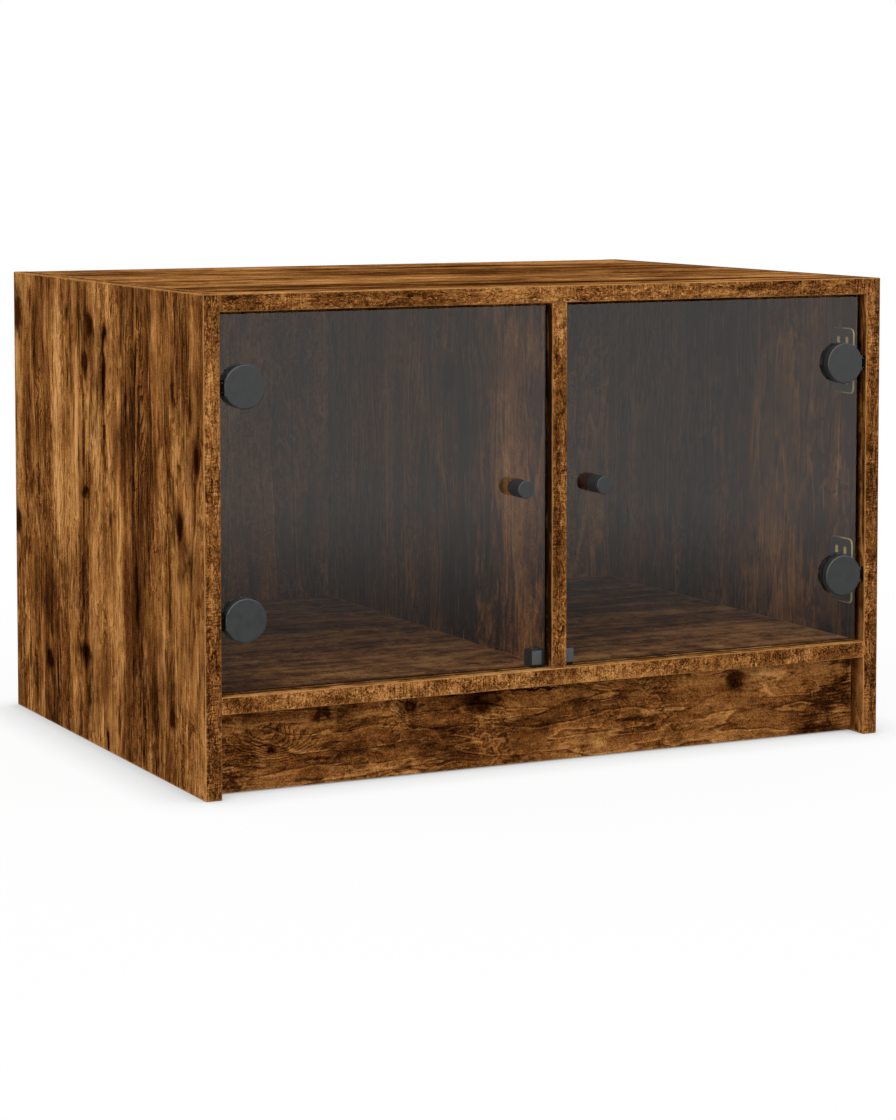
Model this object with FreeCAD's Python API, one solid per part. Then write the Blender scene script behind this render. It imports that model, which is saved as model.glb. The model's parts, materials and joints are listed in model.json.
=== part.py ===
import FreeCAD, Part
import os

# Display coffee table: a board carcass with a centre divider, a set-back plinth and two inset glass doors.
# Millimetres. X runs left to right, Y from front to back, Z up from the floor.
# The origin is on the floor, under the middle of the whole object with its knobs.

# Carcass
width = 680.0
depth = 500.0
height = 430.0
board = 15.0
base_height = 73.0
edge_round = 0.8
divider_setback = 1.0
plinth_setback = 21.0
plinth_floor_gap = 1.0
rear_lip = 4.0

# Back panel and the groove that holds it
back_thickness = 3.0
back_inset = 9.0
groove_depth = 5.0
groove_side_clearance = 0.1
groove_end_clearance = 0.5

# Glass doors
glass_thickness = 5.0
glass_setback = 8.0
glass_arris = 0.6
door_gap = 2.0

# Hinges: where they sit
hinge_end_distance = 62.0
hinge_inset = 21.0

# Hinge cap and what clamps it to the glass
cap_diameter = 38.0
cap_thickness = 7.2
cap_round = 1.2
glass_bore = 26.0
boss_clearance = 0.5
gasket_diameter = 36.0
gasket_thickness = 0.5
clamp_gap = 0.5
backing_thickness = 3.0
backing_round = 1.0
clamp_screw_spread = 14.0
clamp_screw_bite = 9.0

# Hinge knuckle: a fixed barrel on the plate's leaf, between two ears of the cap
pin_radius = 1.0
pin_running_clearance = 0.05
barrel_radius = 2.0
barrel_height = 8.0
barrel_panel_gap = 0.2
barrel_swing_clearance = 0.3
ear_radius = 1.7
ear_height = 2.8
ear_gap = 0.2

# Hinge plate on the side panel
leaf_thickness = 1.2
plate_thickness = 1.8
plate_height = 62.0
plate_depth = 37.0
plate_setback = 18.5
plate_corner = 6.0
plate_chamfer = 1.0
slot_depth = 0.8
slot_width = 5.0
slot_height = 7.0
slot_rise = 19.0
slot_spread = 14.0
slot_corner = 1.25
plate_screw_spread = 21.0
plate_screw_length = 12.0

# Knobs
knob_diameter = 16.0
knob_length = 19.0
knob_round = 0.8
knob_inset = 30.0
knob_screw_bite = 9.0
knob_hole_radius = 3.0
bush_flange_radius = 6.0
bush_flange_thickness = 1.0
bush_collar_gap = 0.4

# Steel strike plates bonded to the rear of the doors, in their free lower corners
strike_width = 9.4
strike_height = 12.5
strike_thickness = 1.0
strike_inset = 2.1
strike_rise = 0.5
strike_corner = 0.6

# Magnetic catches on the bottom panel, beside the divider
catch_gap = 0.3
catch_width = 13.5
catch_depth = 14.0
catch_height = 15.5
magnet_width = 7.0
magnet_depth = 4.0
magnet_height = 9.0
catch_screw_setback = 7.5
catch_screw_bite = 8.0

# Screws
machine_screw_radius = 2.0
machine_head_radius = 3.5
machine_head_height = 2.4
wood_screw_radius = 1.75
wood_head_radius = 3.2
wood_head_height = 2.0
screw_clearance = 0.05
hole_relief = 0.5
driver_slot = 0.9
driver_depth = 1.2
driver_share = 0.6

# Cam fittings and dowels in the board joints
cam_radius = 7.5
cam_depth = 12.5
cam_distance = 34.0
cam_clearance = 0.05
bolt_radius = 3.4
bolt_neck_radius = 2.2
bolt_neck_length = 5.0
bolt_head_length = 4.0
bolt_stud_radius = 2.5
bolt_stud_length = 10.5
dowel_radius = 4.0
dowel_length = 30.0
dowel_clearance = 0.05
dowel_end_room = 0.5
dowel_in_face = 8.5
fitting_inset = 80.0
dowel_offset = 32.0
plinth_fitting_inset = 20.0

# Screws that hold the divider down on the bottom panel
divider_screw_radius = 3.2
divider_screw_length = 50.0
divider_head_radius = 5.0
divider_head_height = 3.0

# Places worked out from the sizes above
knob_proud = knob_length - glass_setback
front = (knob_proud - depth) / 2
rear = front + depth
inner = width / 2 - board
floor = base_height + board
ceiling = height - board
back_front = rear - back_inset - back_thickness
glass_front = front + glass_setback
glass_back = glass_front + glass_thickness
hinge_edge = -inner + door_gap
free_edge = -board / 2 - door_gap
door_bottom = floor + door_gap
door_top = ceiling - door_gap
door_middle = (door_bottom + door_top) / 2
cap_back = glass_front - gasket_thickness
cap_front = cap_back - cap_thickness
cap_x = hinge_edge + hinge_inset
pin_x = -inner + barrel_panel_gap + barrel_radius
pin_y = cap_front + ear_radius
strike_end = free_edge - strike_inset
strike_start = strike_end - strike_width

RIGHT = FreeCAD.Vector(1, 0, 0)
BACK = FreeCAD.Vector(0, 1, 0)
UP = FreeCAD.Vector(0, 0, 1)
ORIGIN = FreeCAD.Vector(0, 0, 0)

# Two places closer than this are the same place.
SAME = 0.001

# A rounded edge takes at most this share of the thinnest side of its piece.
MOST_ROUND = 1 / 3

solids = {}
cuts = {}


def add(node, *shapes):
    """Put separate solids into a node."""
    solids.setdefault(node, []).extend(shapes)


def cut(node, *shapes):
    """Remember what is to be cut out of a node."""
    cuts.setdefault(node, []).extend(shapes)


def mirrored(shape):
    """The same shape on the other side of the middle plane."""
    return shape.mirror(ORIGIN, RIGHT)


def add_pair(name, shape):
    """Put a left-hand solid and its mirror image into the two nodes of that name."""
    add("left_" + name, shape)
    add("right_" + name, mirrored(shape))


def cut_pair(name, shape):
    """Cut a left-hand shape and its mirror image out of the two nodes of that name."""
    cut("left_" + name, shape)
    cut("right_" + name, mirrored(shape))


def block(x0, x1, y0, y1, z0, z1):
    return Part.makeBox(x1 - x0, y1 - y0, z1 - z0, FreeCAD.Vector(x0, y0, z0))


def rod(radius, start, direction, length):
    return Part.makeCylinder(radius, length, start, direction)


def edges_along(shape, direction):
    """The straight edges of a shape that run along a direction."""
    found = []
    for edge in shape.Edges:
        if isinstance(edge.Curve, Part.Line) and abs(edge.Curve.Direction.dot(direction)) > 1 - SAME:
            found.append(edge)
    return found


def round_edges(shape, radius, edges):
    """Round some edges, within what the piece's thinnest side allows."""
    box = shape.BoundBox
    wall = min(box.XLength, box.YLength, box.ZLength)
    return shape.makeFillet(min(radius, wall * MOST_ROUND), edges)


def round_rim(disc, radius, y):
    """Round the rim of a disc that lies across Y, at the face with that Y."""
    rim = []
    for edge in disc.Edges:
        if isinstance(edge.Curve, Part.Circle) and abs(edge.Curve.Center.y - y) < SAME:
            rim.append(edge)
    return disc.makeFillet(radius, rim)


def driver_cross(point, direction, radius):
    """The cross recess that is cut into a screw head or cam face."""
    other = RIGHT if abs(direction.dot(UP)) > 1 - SAME else UP
    bars = []
    for along in (other, direction.cross(other)):
        across = direction.cross(along)
        corner = point - along * radius - across * (driver_slot / 2)
        outline = [corner]
        outline.append(outline[-1] + along * (2 * radius))
        outline.append(outline[-1] + across * driver_slot)
        outline.append(outline[-1] - along * (2 * radius))
        face = Part.Face(Part.makePolygon(outline + [corner]))
        bars.append(face.extrude(direction * driver_depth))
    return bars[0].fuse(bars[1])


def screw(seat, direction, radius, length, head_radius, head_height):
    """A round-headed screw whose head rests at seat and whose shank runs along direction."""
    head = rod(head_radius, seat - direction * head_height, direction, head_height)
    shank = rod(radius - screw_clearance, seat, direction, length)
    recess = driver_cross(seat - direction * head_height, direction, head_radius * driver_share)
    return head.fuse(shank).cut(recess).removeSplitter()


def machine_screw(seat, direction, length):
    return screw(seat, direction, machine_screw_radius, length, machine_head_radius, machine_head_height)


def wood_screw(seat, direction, length):
    return screw(seat, direction, wood_screw_radius, length, wood_head_radius, wood_head_height)


# Carcass boards

def make_boards():
    left = block(-width / 2, -inner, front, rear, 0, height)
    add_pair("side_panel", round_edges(left, edge_round, left.Edges))

    top = block(-inner, inner, front, rear - rear_lip, ceiling, height)
    add("top_panel", round_edges(top, edge_round, edges_along(top, RIGHT)))

    bottom = block(-inner, inner, front, rear - rear_lip, base_height, floor)
    add("bottom_panel", round_edges(bottom, edge_round, edges_along(bottom, RIGHT)))

    divider_front = front + divider_setback
    divider = block(-board / 2, board / 2, divider_front, back_front, floor, ceiling)
    front_edges = []
    for edge in edges_along(divider, UP):
        if abs(edge.Vertexes[0].Y - divider_front) < SAME:
            front_edges.append(edge)
    add("centre_divider", round_edges(divider, edge_round, front_edges))

    plinth_front = front + plinth_setback
    plinth = block(-inner, inner, plinth_front, plinth_front + board, plinth_floor_gap, base_height)
    add("front_plinth", round_edges(plinth, edge_round, edges_along(plinth, RIGHT)))


def make_back_panel():
    """A thin sheet whose rim sits in a groove in the sides, the top and the bottom."""
    tongue = groove_depth - groove_end_clearance
    back_rear = back_front + back_thickness
    reach = inner + tongue
    add("back_panel", block(-reach, reach, back_front, back_rear, floor - tongue, ceiling + tongue))

    y0 = back_front - groove_side_clearance
    y1 = back_rear + groove_side_clearance
    groove = block(-inner - groove_depth, -inner, y0, y1, floor - groove_depth, ceiling + groove_depth)
    cut_pair("side_panel", groove)
    cut("top_panel", block(-inner, inner, y0, y1, ceiling, ceiling + groove_depth))
    cut("bottom_panel", block(-inner, inner, y0, y1, floor - groove_depth, floor))


# Fittings in the board joints

def cam_fitting(joint, outward, face):
    """A cam lock and its bolt, with the holes they need.

    joint is the point on the panel's face at the middle of the board's thickness, outward points from the
    board into the panel, and face points from there to the board's face that the cam is bored into.
    """
    centre = joint - outward * cam_distance
    mouth = centre + face * (board / 2)
    bore = rod(cam_radius, mouth, face * -1, cam_depth)
    stud_hole = rod(bolt_stud_radius, joint, outward, bolt_stud_length + hole_relief)
    channel_radius = bolt_radius + 2 * cam_clearance
    edge_hole = rod(channel_radius, joint, outward * -1, cam_distance)

    cam = rod(cam_radius - cam_clearance, mouth, face * -1, cam_depth - hole_relief)
    channel_start = centre - outward * (bolt_head_length + hole_relief)
    channel = rod(channel_radius, channel_start, outward, cam_distance)
    recess = driver_cross(mouth, face * -1, cam_radius * driver_share)
    cam = cam.cut(channel).cut(recess)

    neck_end = cam_distance
    neck_start = neck_end - bolt_neck_length
    stud = rod(bolt_stud_radius - screw_clearance, joint, outward, bolt_stud_length)
    shank = rod(bolt_radius, joint, outward * -1, neck_start)
    neck = rod(bolt_neck_radius, joint - outward * neck_start, outward * -1, bolt_neck_length)
    head = rod(bolt_radius, joint - outward * neck_end, outward * -1, bolt_head_length)
    bolt = stud.fuse([shank, neck, head]).removeSplitter()
    return cam, bolt, bore.fuse(edge_hole), stud_hole


def dowel_fitting(joint, outward):
    """A dowel across a joint, the hole in the face it stands in and the hole in the board's end."""
    in_end = dowel_length - dowel_in_face
    pin = rod(dowel_radius, joint + outward * dowel_in_face, outward * -1, dowel_length)
    hole_radius = dowel_radius + dowel_clearance
    face_hole = rod(hole_radius, joint, outward, dowel_in_face + dowel_end_room)
    end_hole = rod(hole_radius, joint, outward * -1, in_end + dowel_end_room)
    return pin, face_hole, end_hole


def join_to_sides(node, cam_joint, dowel_joint, face):
    """Join one place of a board to both side panels with a cam fitting and a dowel."""
    cam, bolt, board_hole, panel_hole = cam_fitting(cam_joint, RIGHT * -1, face)
    add("cam_locks", cam, mirrored(cam))
    add("cam_bolts", bolt, mirrored(bolt))
    cut(node, board_hole, mirrored(board_hole))
    cut_pair("side_panel", panel_hole)

    dowel, face_hole, end_hole = dowel_fitting(dowel_joint, RIGHT * -1)
    add("dowels", dowel, mirrored(dowel))
    cut(node, end_hole, mirrored(end_hole))
    cut_pair("side_panel", face_hole)


def make_board_joints():
    down = UP * -1
    for node, z in (("top_panel", height - board / 2), ("bottom_panel", floor - board / 2)):
        for y, outer_y in (
            (front + fitting_inset, front + fitting_inset - dowel_offset),
            (rear - fitting_inset, rear - fitting_inset + dowel_offset),
        ):
            cam_joint = FreeCAD.Vector(-inner, y, z)
            dowel_joint = FreeCAD.Vector(-inner, outer_y, z)
            join_to_sides(node, cam_joint, dowel_joint, down)

    plinth_y = front + plinth_setback + board / 2
    cam_joint = FreeCAD.Vector(-inner, plinth_y, base_height - plinth_fitting_inset)
    dowel_joint = FreeCAD.Vector(-inner, plinth_y, plinth_floor_gap + plinth_fitting_inset)
    join_to_sides("front_plinth", cam_joint, dowel_joint, BACK)

    plinth_x = inner / 2
    for x in (-plinth_x, plinth_x):
        joint = FreeCAD.Vector(x, plinth_y, base_height)
        dowel, face_hole, end_hole = dowel_fitting(joint, UP)
        add("dowels", dowel)
        cut("bottom_panel", face_hole)
        cut("front_plinth", end_hole)

    for y in (front + fitting_inset, rear - fitting_inset):
        for node, z, outward in (("top_panel", ceiling, UP), ("bottom_panel", floor, down)):
            joint = FreeCAD.Vector(0, y, z)
            dowel, face_hole, end_hole = dowel_fitting(joint, outward)
            add("dowels", dowel)
            cut(node, face_hole)
            cut("centre_divider", end_hole)


def make_divider_screws():
    """Screws that come up through the bottom panel into the divider, with sunk heads."""
    for y in (front + fitting_inset + dowel_offset, rear - fitting_inset - dowel_offset):
        under = FreeCAD.Vector(0, y, base_height)
        seat = under + UP * divider_head_height
        add("divider_screws", screw(seat, UP, divider_screw_radius, divider_screw_length,
                                    divider_head_radius, divider_head_height))
        head_hole = rod(divider_head_radius + screw_clearance, under, UP, divider_head_height)
        cut("bottom_panel", head_hole, rod(divider_screw_radius, under, UP, board))
        bite = divider_screw_length + divider_head_height - board
        pilot_foot = FreeCAD.Vector(0, y, floor)
        cut("centre_divider", rod(divider_screw_radius, pilot_foot, UP, bite + hole_relief))


# Glass doors

def make_glass():
    glass = block(hinge_edge, free_edge, glass_front, glass_back, door_bottom, door_top)
    add_pair("glass_door", round_edges(glass, glass_arris, glass.Edges))


# Hinges

def hinge_plate(z):
    """The fixed half: a plate on the side panel and a leaf that ends in the barrel round the pin."""
    y0 = front + plate_setback
    y1 = y0 + plate_depth
    low = z - plate_height / 2
    face_x = -inner + plate_thickness
    plate = block(-inner, face_x, y0, y1, low, low + plate_height)
    plate = plate.makeFillet(plate_corner, edges_along(plate, RIGHT))
    rim = []
    for edge in plate.Edges:
        if edge.BoundBox.XLength < SAME and abs(edge.BoundBox.XMin - face_x) < SAME:
            rim.append(edge)
    plate = plate.makeChamfer(plate_chamfer, rim)

    barrel_low = z - barrel_height / 2
    barrel_high = barrel_low + barrel_height
    leaf = block(-inner, -inner + leaf_thickness, pin_y, y0 + plate_corner, barrel_low, barrel_high)
    barrel_foot = FreeCAD.Vector(pin_x, pin_y, barrel_low)
    barrel = rod(barrel_radius, barrel_foot, UP, barrel_height)
    bore = rod(pin_radius + pin_running_clearance, barrel_foot, UP, barrel_height)

    openings = [bore]
    middle_y = (y0 + y1) / 2
    for rise in (-slot_rise, slot_rise):
        for offset in (-slot_spread / 2, slot_spread / 2):
            slot_y = middle_y + offset - slot_width / 2
            slot_z = z + rise - slot_height / 2
            slot_x = face_x - slot_depth
            slot = block(slot_x, face_x, slot_y, slot_y + slot_width, slot_z, slot_z + slot_height)
            openings.append(slot.makeFillet(slot_corner, edges_along(slot, RIGHT)))
    for seat in plate_screw_seats(z):
        openings.append(rod(wood_screw_radius, seat, RIGHT * -1, plate_thickness))
    return plate.fuse([leaf, barrel]).cut(openings).removeSplitter()


def plate_screw_seats(z):
    """Where the two screws of a hinge plate seat, on the plate's face."""
    middle_y = front + plate_setback + plate_depth / 2
    seats = []
    for offset in (-plate_screw_spread / 2, plate_screw_spread / 2):
        seats.append(FreeCAD.Vector(-inner + plate_thickness, middle_y + offset, z))
    return seats


def clamp_screw_seats(z):
    """Where the two clamp screws of a hinge seat, on the rear of the backing disc."""
    y = glass_back + gasket_thickness + backing_thickness
    seats = []
    for offset in (-clamp_screw_spread / 2, clamp_screw_spread / 2):
        seats.append(FreeCAD.Vector(cap_x, y, z + offset))
    return seats


def boss_length():
    """The boss stops a little short of the backing disc, so that the screws clamp the glass."""
    return 2 * gasket_thickness + glass_thickness - clamp_gap


def hinge_cap(z):
    """The moving half: a round cap with a boss through the glass and two ears that hold the pin."""
    disc = rod(cap_diameter / 2, FreeCAD.Vector(cap_x, cap_front, z), BACK, cap_thickness)
    disc = round_rim(disc, cap_round, cap_front)
    boss_radius = glass_bore / 2 - boss_clearance
    boss = rod(boss_radius, FreeCAD.Vector(cap_x, cap_back, z), BACK, boss_length())

    ears = []
    ear_start = barrel_height / 2 + ear_gap
    for low in (z + ear_start, z - ear_start - ear_height):
        rim_drop = max(abs(low - z), abs(low + ear_height - z))
        rim_x = cap_x - (cap_diameter ** 2 / 4 - rim_drop ** 2) ** 0.5
        root_x = rim_x + cap_round + ear_radius
        ears.append(rod(ear_radius, FreeCAD.Vector(pin_x, pin_y, low), UP, ear_height))
        ears.append(block(pin_x, root_x, pin_y - ear_radius, pin_y + ear_radius, low, low + ear_height))

    knuckle_foot = FreeCAD.Vector(pin_x, pin_y, z - ear_start)
    holes = [rod(barrel_radius + barrel_swing_clearance, knuckle_foot, UP, 2 * ear_start)]
    holes.append(hinge_pin(z))
    for seat in clamp_screw_seats(z):
        start = FreeCAD.Vector(cap_x, cap_back + boss_length(), seat.z)
        holes.append(rod(machine_screw_radius, start, BACK * -1, clamp_screw_bite + hole_relief))
    return disc.fuse([boss] + ears).cut(holes).removeSplitter()


def hinge_pin(z):
    half = barrel_height / 2 + ear_gap + ear_height
    return rod(pin_radius, FreeCAD.Vector(pin_x, pin_y, z - half), UP, 2 * half)


def gasket(y, z):
    centre = FreeCAD.Vector(cap_x, y, z)
    ring = rod(gasket_diameter / 2, centre, BACK, gasket_thickness)
    return ring.cut(rod(glass_bore / 2, centre, BACK, gasket_thickness))


def backing_disc(z):
    y = glass_back + gasket_thickness
    disc = rod(cap_diameter / 2, FreeCAD.Vector(cap_x, y, z), BACK, backing_thickness)
    disc = round_rim(disc, backing_round, y + backing_thickness)
    holes = []
    for seat in clamp_screw_seats(z):
        holes.append(rod(machine_screw_radius, seat, BACK * -1, backing_thickness))
    return disc.cut(holes)


def make_hinges():
    clamp_screw_length = backing_thickness + clamp_gap + clamp_screw_bite
    for level, z in (("upper", door_top - hinge_end_distance), ("lower", door_bottom + hinge_end_distance)):
        add_pair(level + "_hinge_plate", hinge_plate(z))
        add_pair(level + "_hinge_cap", hinge_cap(z))
        add_pair(level + "_hinge_pin", hinge_pin(z))
        add_pair(level + "_hinge_backing", backing_disc(z))
        add_pair("hinge_gaskets", gasket(cap_back, z))
        add_pair("hinge_gaskets", gasket(glass_back, z))
        bore_start = FreeCAD.Vector(cap_x, glass_front, z)
        cut_pair("glass_door", rod(glass_bore / 2, bore_start, BACK, glass_thickness))
        for seat in clamp_screw_seats(z):
            add_pair("hinge_clamp_screws", machine_screw(seat, BACK * -1, clamp_screw_length))
        for seat in plate_screw_seats(z):
            plate_screw = wood_screw(seat, RIGHT * -1, plate_screw_length)
            add("hinge_plate_screws", plate_screw, mirrored(plate_screw))
            hole_length = plate_screw_length + hole_relief
            cut_pair("side_panel", rod(wood_screw_radius, seat, RIGHT * -1, hole_length))


# Knobs

def make_knobs():
    """A round knob in front of each pane, with a flanged bush and a screw behind it."""
    centre = FreeCAD.Vector(free_edge - knob_inset, glass_front, door_middle)
    knob = rod(knob_diameter / 2, centre, BACK * -1, knob_length)
    knob = round_rim(knob, knob_round, glass_front - knob_length)
    add_pair("knob", knob.cut(rod(machine_screw_radius, centre, BACK * -1, knob_screw_bite + hole_relief)))

    cut_pair("glass_door", rod(knob_hole_radius, centre, BACK, glass_thickness))
    rear_face = centre + BACK * glass_thickness
    flange = rod(bush_flange_radius, rear_face, BACK, bush_flange_thickness)
    collar_length = glass_thickness - bush_collar_gap
    collar = rod(knob_hole_radius - screw_clearance, rear_face, BACK * -1, collar_length)
    seat = rear_face + BACK * bush_flange_thickness
    screw_length = bush_flange_thickness + glass_thickness + knob_screw_bite
    add_pair("knob_bush", flange.fuse(collar).cut(rod(machine_screw_radius, seat, BACK * -1, screw_length)))
    add_pair("knob_screw", machine_screw(seat, BACK * -1, screw_length))


# Strike plates and magnetic catches

def make_strike_plates():
    low = door_bottom + strike_rise
    back = glass_back + strike_thickness
    plate = block(strike_start, strike_end, glass_back, back, low, low + strike_height)
    add_pair("strike_plate", round_edges(plate, strike_corner, edges_along(plate, BACK)))


def make_catches():
    """A magnet in a small housing behind each strike plate, screwed down on the bottom panel."""
    down = UP * -1
    face = glass_back + strike_thickness + catch_gap
    wall = -board / 2
    top = floor + catch_height
    housing = block(wall - catch_width, wall, face, face + catch_depth, floor, top)
    x0 = (strike_start + strike_end - magnet_width) / 2
    z0 = floor + (catch_height - magnet_height) / 2
    magnet = block(x0, x0 + magnet_width, face, face + magnet_depth, z0, z0 + magnet_height)

    mouth = FreeCAD.Vector(wall - catch_width / 2, face + catch_screw_setback, top)
    seat = mouth + down * wood_head_height
    head_hole = rod(wood_head_radius + screw_clearance, mouth, down, wood_head_height)
    shank_hole = rod(wood_screw_radius, mouth, down, catch_height)
    add_pair("catch_housing", round_edges(housing, edge_round, edges_along(housing, RIGHT)))
    cut_pair("catch_housing", magnet.fuse([head_hole, shank_hole]))
    add_pair("catch_magnet", magnet)

    catch_screw = wood_screw(seat, down, catch_height - wood_head_height + catch_screw_bite)
    add("catch_screws", catch_screw, mirrored(catch_screw))
    foot = FreeCAD.Vector(mouth.x, mouth.y, floor)
    pilot = rod(wood_screw_radius, foot, down, catch_screw_bite + hole_relief)
    cut("bottom_panel", pilot, mirrored(pilot))


def export():
    """Cut the holes and write each node to its own file."""
    os.makedirs("parts", exist_ok=True)
    for node, shapes in solids.items():
        finished = []
        for shape in shapes:
            if node in cuts:
                shape = shape.cut(cuts[node]).removeSplitter()
            finished.extend(shape.Solids)
        if len(finished) == 1:
            finished[0].exportStep("parts/" + node + ".step")
        else:
            Part.makeCompound(finished).exportStep("parts/" + node + ".step")
        print(node, len(finished), round(sum(solid.Volume for solid in finished), 1))


make_boards()
make_back_panel()
make_board_joints()
make_divider_screws()
make_glass()
make_hinges()
make_knobs()
make_strike_plates()
make_catches()
export()
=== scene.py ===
import json
import math
import bpy
from mathutils import Matrix, Vector


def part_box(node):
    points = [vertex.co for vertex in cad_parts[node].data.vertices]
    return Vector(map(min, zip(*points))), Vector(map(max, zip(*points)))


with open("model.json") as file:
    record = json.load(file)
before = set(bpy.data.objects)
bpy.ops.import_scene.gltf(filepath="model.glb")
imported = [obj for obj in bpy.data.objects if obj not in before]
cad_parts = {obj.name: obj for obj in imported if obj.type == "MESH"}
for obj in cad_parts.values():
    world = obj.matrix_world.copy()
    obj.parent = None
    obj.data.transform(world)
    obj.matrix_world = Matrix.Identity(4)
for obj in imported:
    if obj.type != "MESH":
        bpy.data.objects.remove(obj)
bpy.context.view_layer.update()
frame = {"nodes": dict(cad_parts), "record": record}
nodes = frame["nodes"]

# The photograph's frame in pixels, and the camera that sees the table as it does: its sensor in millimetres,
# its focal length and optical axis in those pixels, its place in metres and its turn in degrees
PHOTO_WIDTH = 896
PHOTO_HEIGHT = 1120
SENSOR = 36.0
FOCAL_PIXELS = 3026.0
AXIS_PIXEL = (430.0, 352.4)
CAMERA_PLACE = (-1.281, -2.5965, 0.558)
CAMERA_YAW = 26.10
CAMERA_PITCH = -4.0
CAMERA_ROLL = -0.05

# Studio: the sky dome and one wide sun add up to a level at which white lying flat renders as white.
WHITE = (1.0, 1.0, 1.0, 1.0)
DOME_STRENGTH = 0.75
SUN_STRENGTH = 1.2
SUN_ANGLE = 75.0
SUN_FROM = (-0.35, -0.62, 0.70)

# Floor: its size in metres, how white it is to the eye and to light that bounces off it, and how much of the
# lamps' shadow it shows
FLOOR_SIZE = 60.0
FLOOR_WHITE = 0.98
FLOOR_BOUNCE = 0.6
SHADOW_SHARE = 0.10

# Shadow at the table's foot: how far its wide part and thin line reach, in metres, and how dark they are. The
# wide part is darker on the table's left, and changes between two places along X.
CONTACT_REACH = 0.06
CONTACT_LEFT = 0.60
CONTACT_ELSEWHERE = 0.44
CONTACT_CHANGE = (-0.36, -0.30)
CONTACT_LINE_REACH = 0.015
CONTACT_LINE = 0.24

# How bright mirrors see the floor at the table, and how far from the table's middle, in metres, that starts
# to rise and is full
MIRRORED_NEAR = 0.10
MIRRORED_RISE = (0.5, 2.4)

# The range that holds most of a noise's values, and what is left of a soft spot at its half width
NOISE_RANGE = (0.3, 0.7)
FADE_LEFT = 0.37

scene = bpy.context.scene
scene.view_settings.view_transform = "Standard"


def linear(red, green, blue):
    """A colour written in screen values from 0 to 255, turned by the sRGB curve into what shaders take."""
    channels = []
    for value in (red, green, blue):
        share = value / 255
        channels.append(share / 12.92 if share <= 0.04045 else ((share + 0.055) / 1.055) ** 2.4)
    return (*channels, 1.0)


class Tree:
    """A node tree that is written one node per call. An input is a value or another node's output."""

    def __init__(self, tree):
        self.tree = tree

    def feed(self, socket, value):
        if isinstance(value, bpy.types.NodeSocket):
            self.tree.links.new(value, socket)
        else:
            socket.default_value = value

    def new(self, kind, inputs=(), **settings):
        made = self.tree.nodes.new("ShaderNode" + kind)
        for name, value in settings.items():
            setattr(made, name, value)
        for key, value in dict(inputs).items():
            self.feed(made.inputs[key], value)
        return made

    def math(self, operation, first, second=0.0, third=0.0):
        made = self.new("Math", {0: first, 1: second, 2: third}, operation=operation)
        return made.outputs[0]

    def vector(self, operation, first, second=(0.0, 0.0, 0.0), third=(0.0, 0.0, 0.0)):
        made = self.new("VectorMath", {0: first, 1: second, 2: third}, operation=operation)
        return made.outputs[0]

    def dot(self, first, second):
        made = self.new("VectorMath", {0: first, 1: second}, operation="DOT_PRODUCT")
        return made.outputs["Value"]

    def length(self, vector):
        return self.new("VectorMath", {0: vector}, operation="LENGTH").outputs["Value"]

    def split(self, vector):
        return self.new("SeparateXYZ", {0: vector}).outputs

    def join(self, x, y, z):
        return self.new("CombineXYZ", {0: x, 1: y, 2: z}).outputs[0]

    def object_place(self):
        return self.new("TexCoord").outputs["Object"]

    def normal(self):
        """The way the surface faces, along the axes of its object."""
        return self.new("TexCoord").outputs["Normal"]

    def facing(self):
        """How far the surface faces along each axis of its object, whichever way."""
        return self.split(self.vector("ABSOLUTE", self.normal()))

    def noise(self, vector, scale, detail=2.0, roughness=0.5, distortion=0.0):
        """Noise from 0 to 1 about a mean of one half. scale is in features per metre, for each axis."""
        stretched = self.vector("MULTIPLY", vector, scale)
        inputs = {"Vector": stretched, "Scale": 1.0, "Detail": detail, "Roughness": roughness,
                  "Distortion": distortion}
        return self.new("TexNoise", inputs).outputs[0]

    def span(self, value, low, high, to_low=0.0, to_high=1.0):
        """A smooth step from to_low to to_high as value goes from low to high."""
        inputs = {0: value, 1: low, 2: high, 3: to_low, 4: to_high}
        return self.new("MapRange", inputs, interpolation_type="SMOOTHSTEP").outputs[0]

    def blend(self, share, first, second, mode="MIX"):
        """A mix of two colours. Sockets 6, 7 and 2 are where a Mix node takes and gives colours."""
        made = self.new("Mix", data_type="RGBA", blend_type=mode)
        self.feed(made.inputs[0], share)
        self.feed(made.inputs[6], first)
        self.feed(made.inputs[7], second)
        return made.outputs[2]

    def ramp(self, share, stops):
        made = self.new("ValToRGB", {0: share})
        elements = made.color_ramp.elements
        while len(elements) < len(stops):
            elements.new(1.0)
        for element, (place, colour) in zip(elements, stops):
            element.position = place
            element.color = colour
        return made.outputs[0]

    def relief(self, value, steepness):
        """A thin line, light on one side and dark on the other, where value passes one half."""
        slope = self.math("MULTIPLY", self.math("SUBTRACT", value, 0.5), steepness)
        return self.math("MULTIPLY", slope, self.fade(self.math("MULTIPLY", slope, slope)))

    def fade(self, square):
        """1 at a square distance of 0, falling off softly."""
        return self.math("POWER", FADE_LEFT, square)

    def weighted(self, start, *terms):
        """start plus each weight times how far its value lies from one half."""
        total = start
        for weight, value in terms:
            centred = self.math("SUBTRACT", value, 0.5)
            total = self.math("MULTIPLY_ADD", centred, weight, total)
        return total

    def rest(self, share):
        """What a share leaves of 1."""
        return self.math("SUBTRACT", 1.0, share)

    def finish(self, shader):
        """End a material in this shader."""
        output = self.new("OutputMaterial")
        self.tree.links.new(shader.outputs[0], output.inputs["Surface"])


def new_material(name):
    material = bpy.data.materials.new(name)
    material.use_nodes = True
    material.node_tree.nodes.clear()
    return material, Tree(material.node_tree)


# Wood

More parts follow.
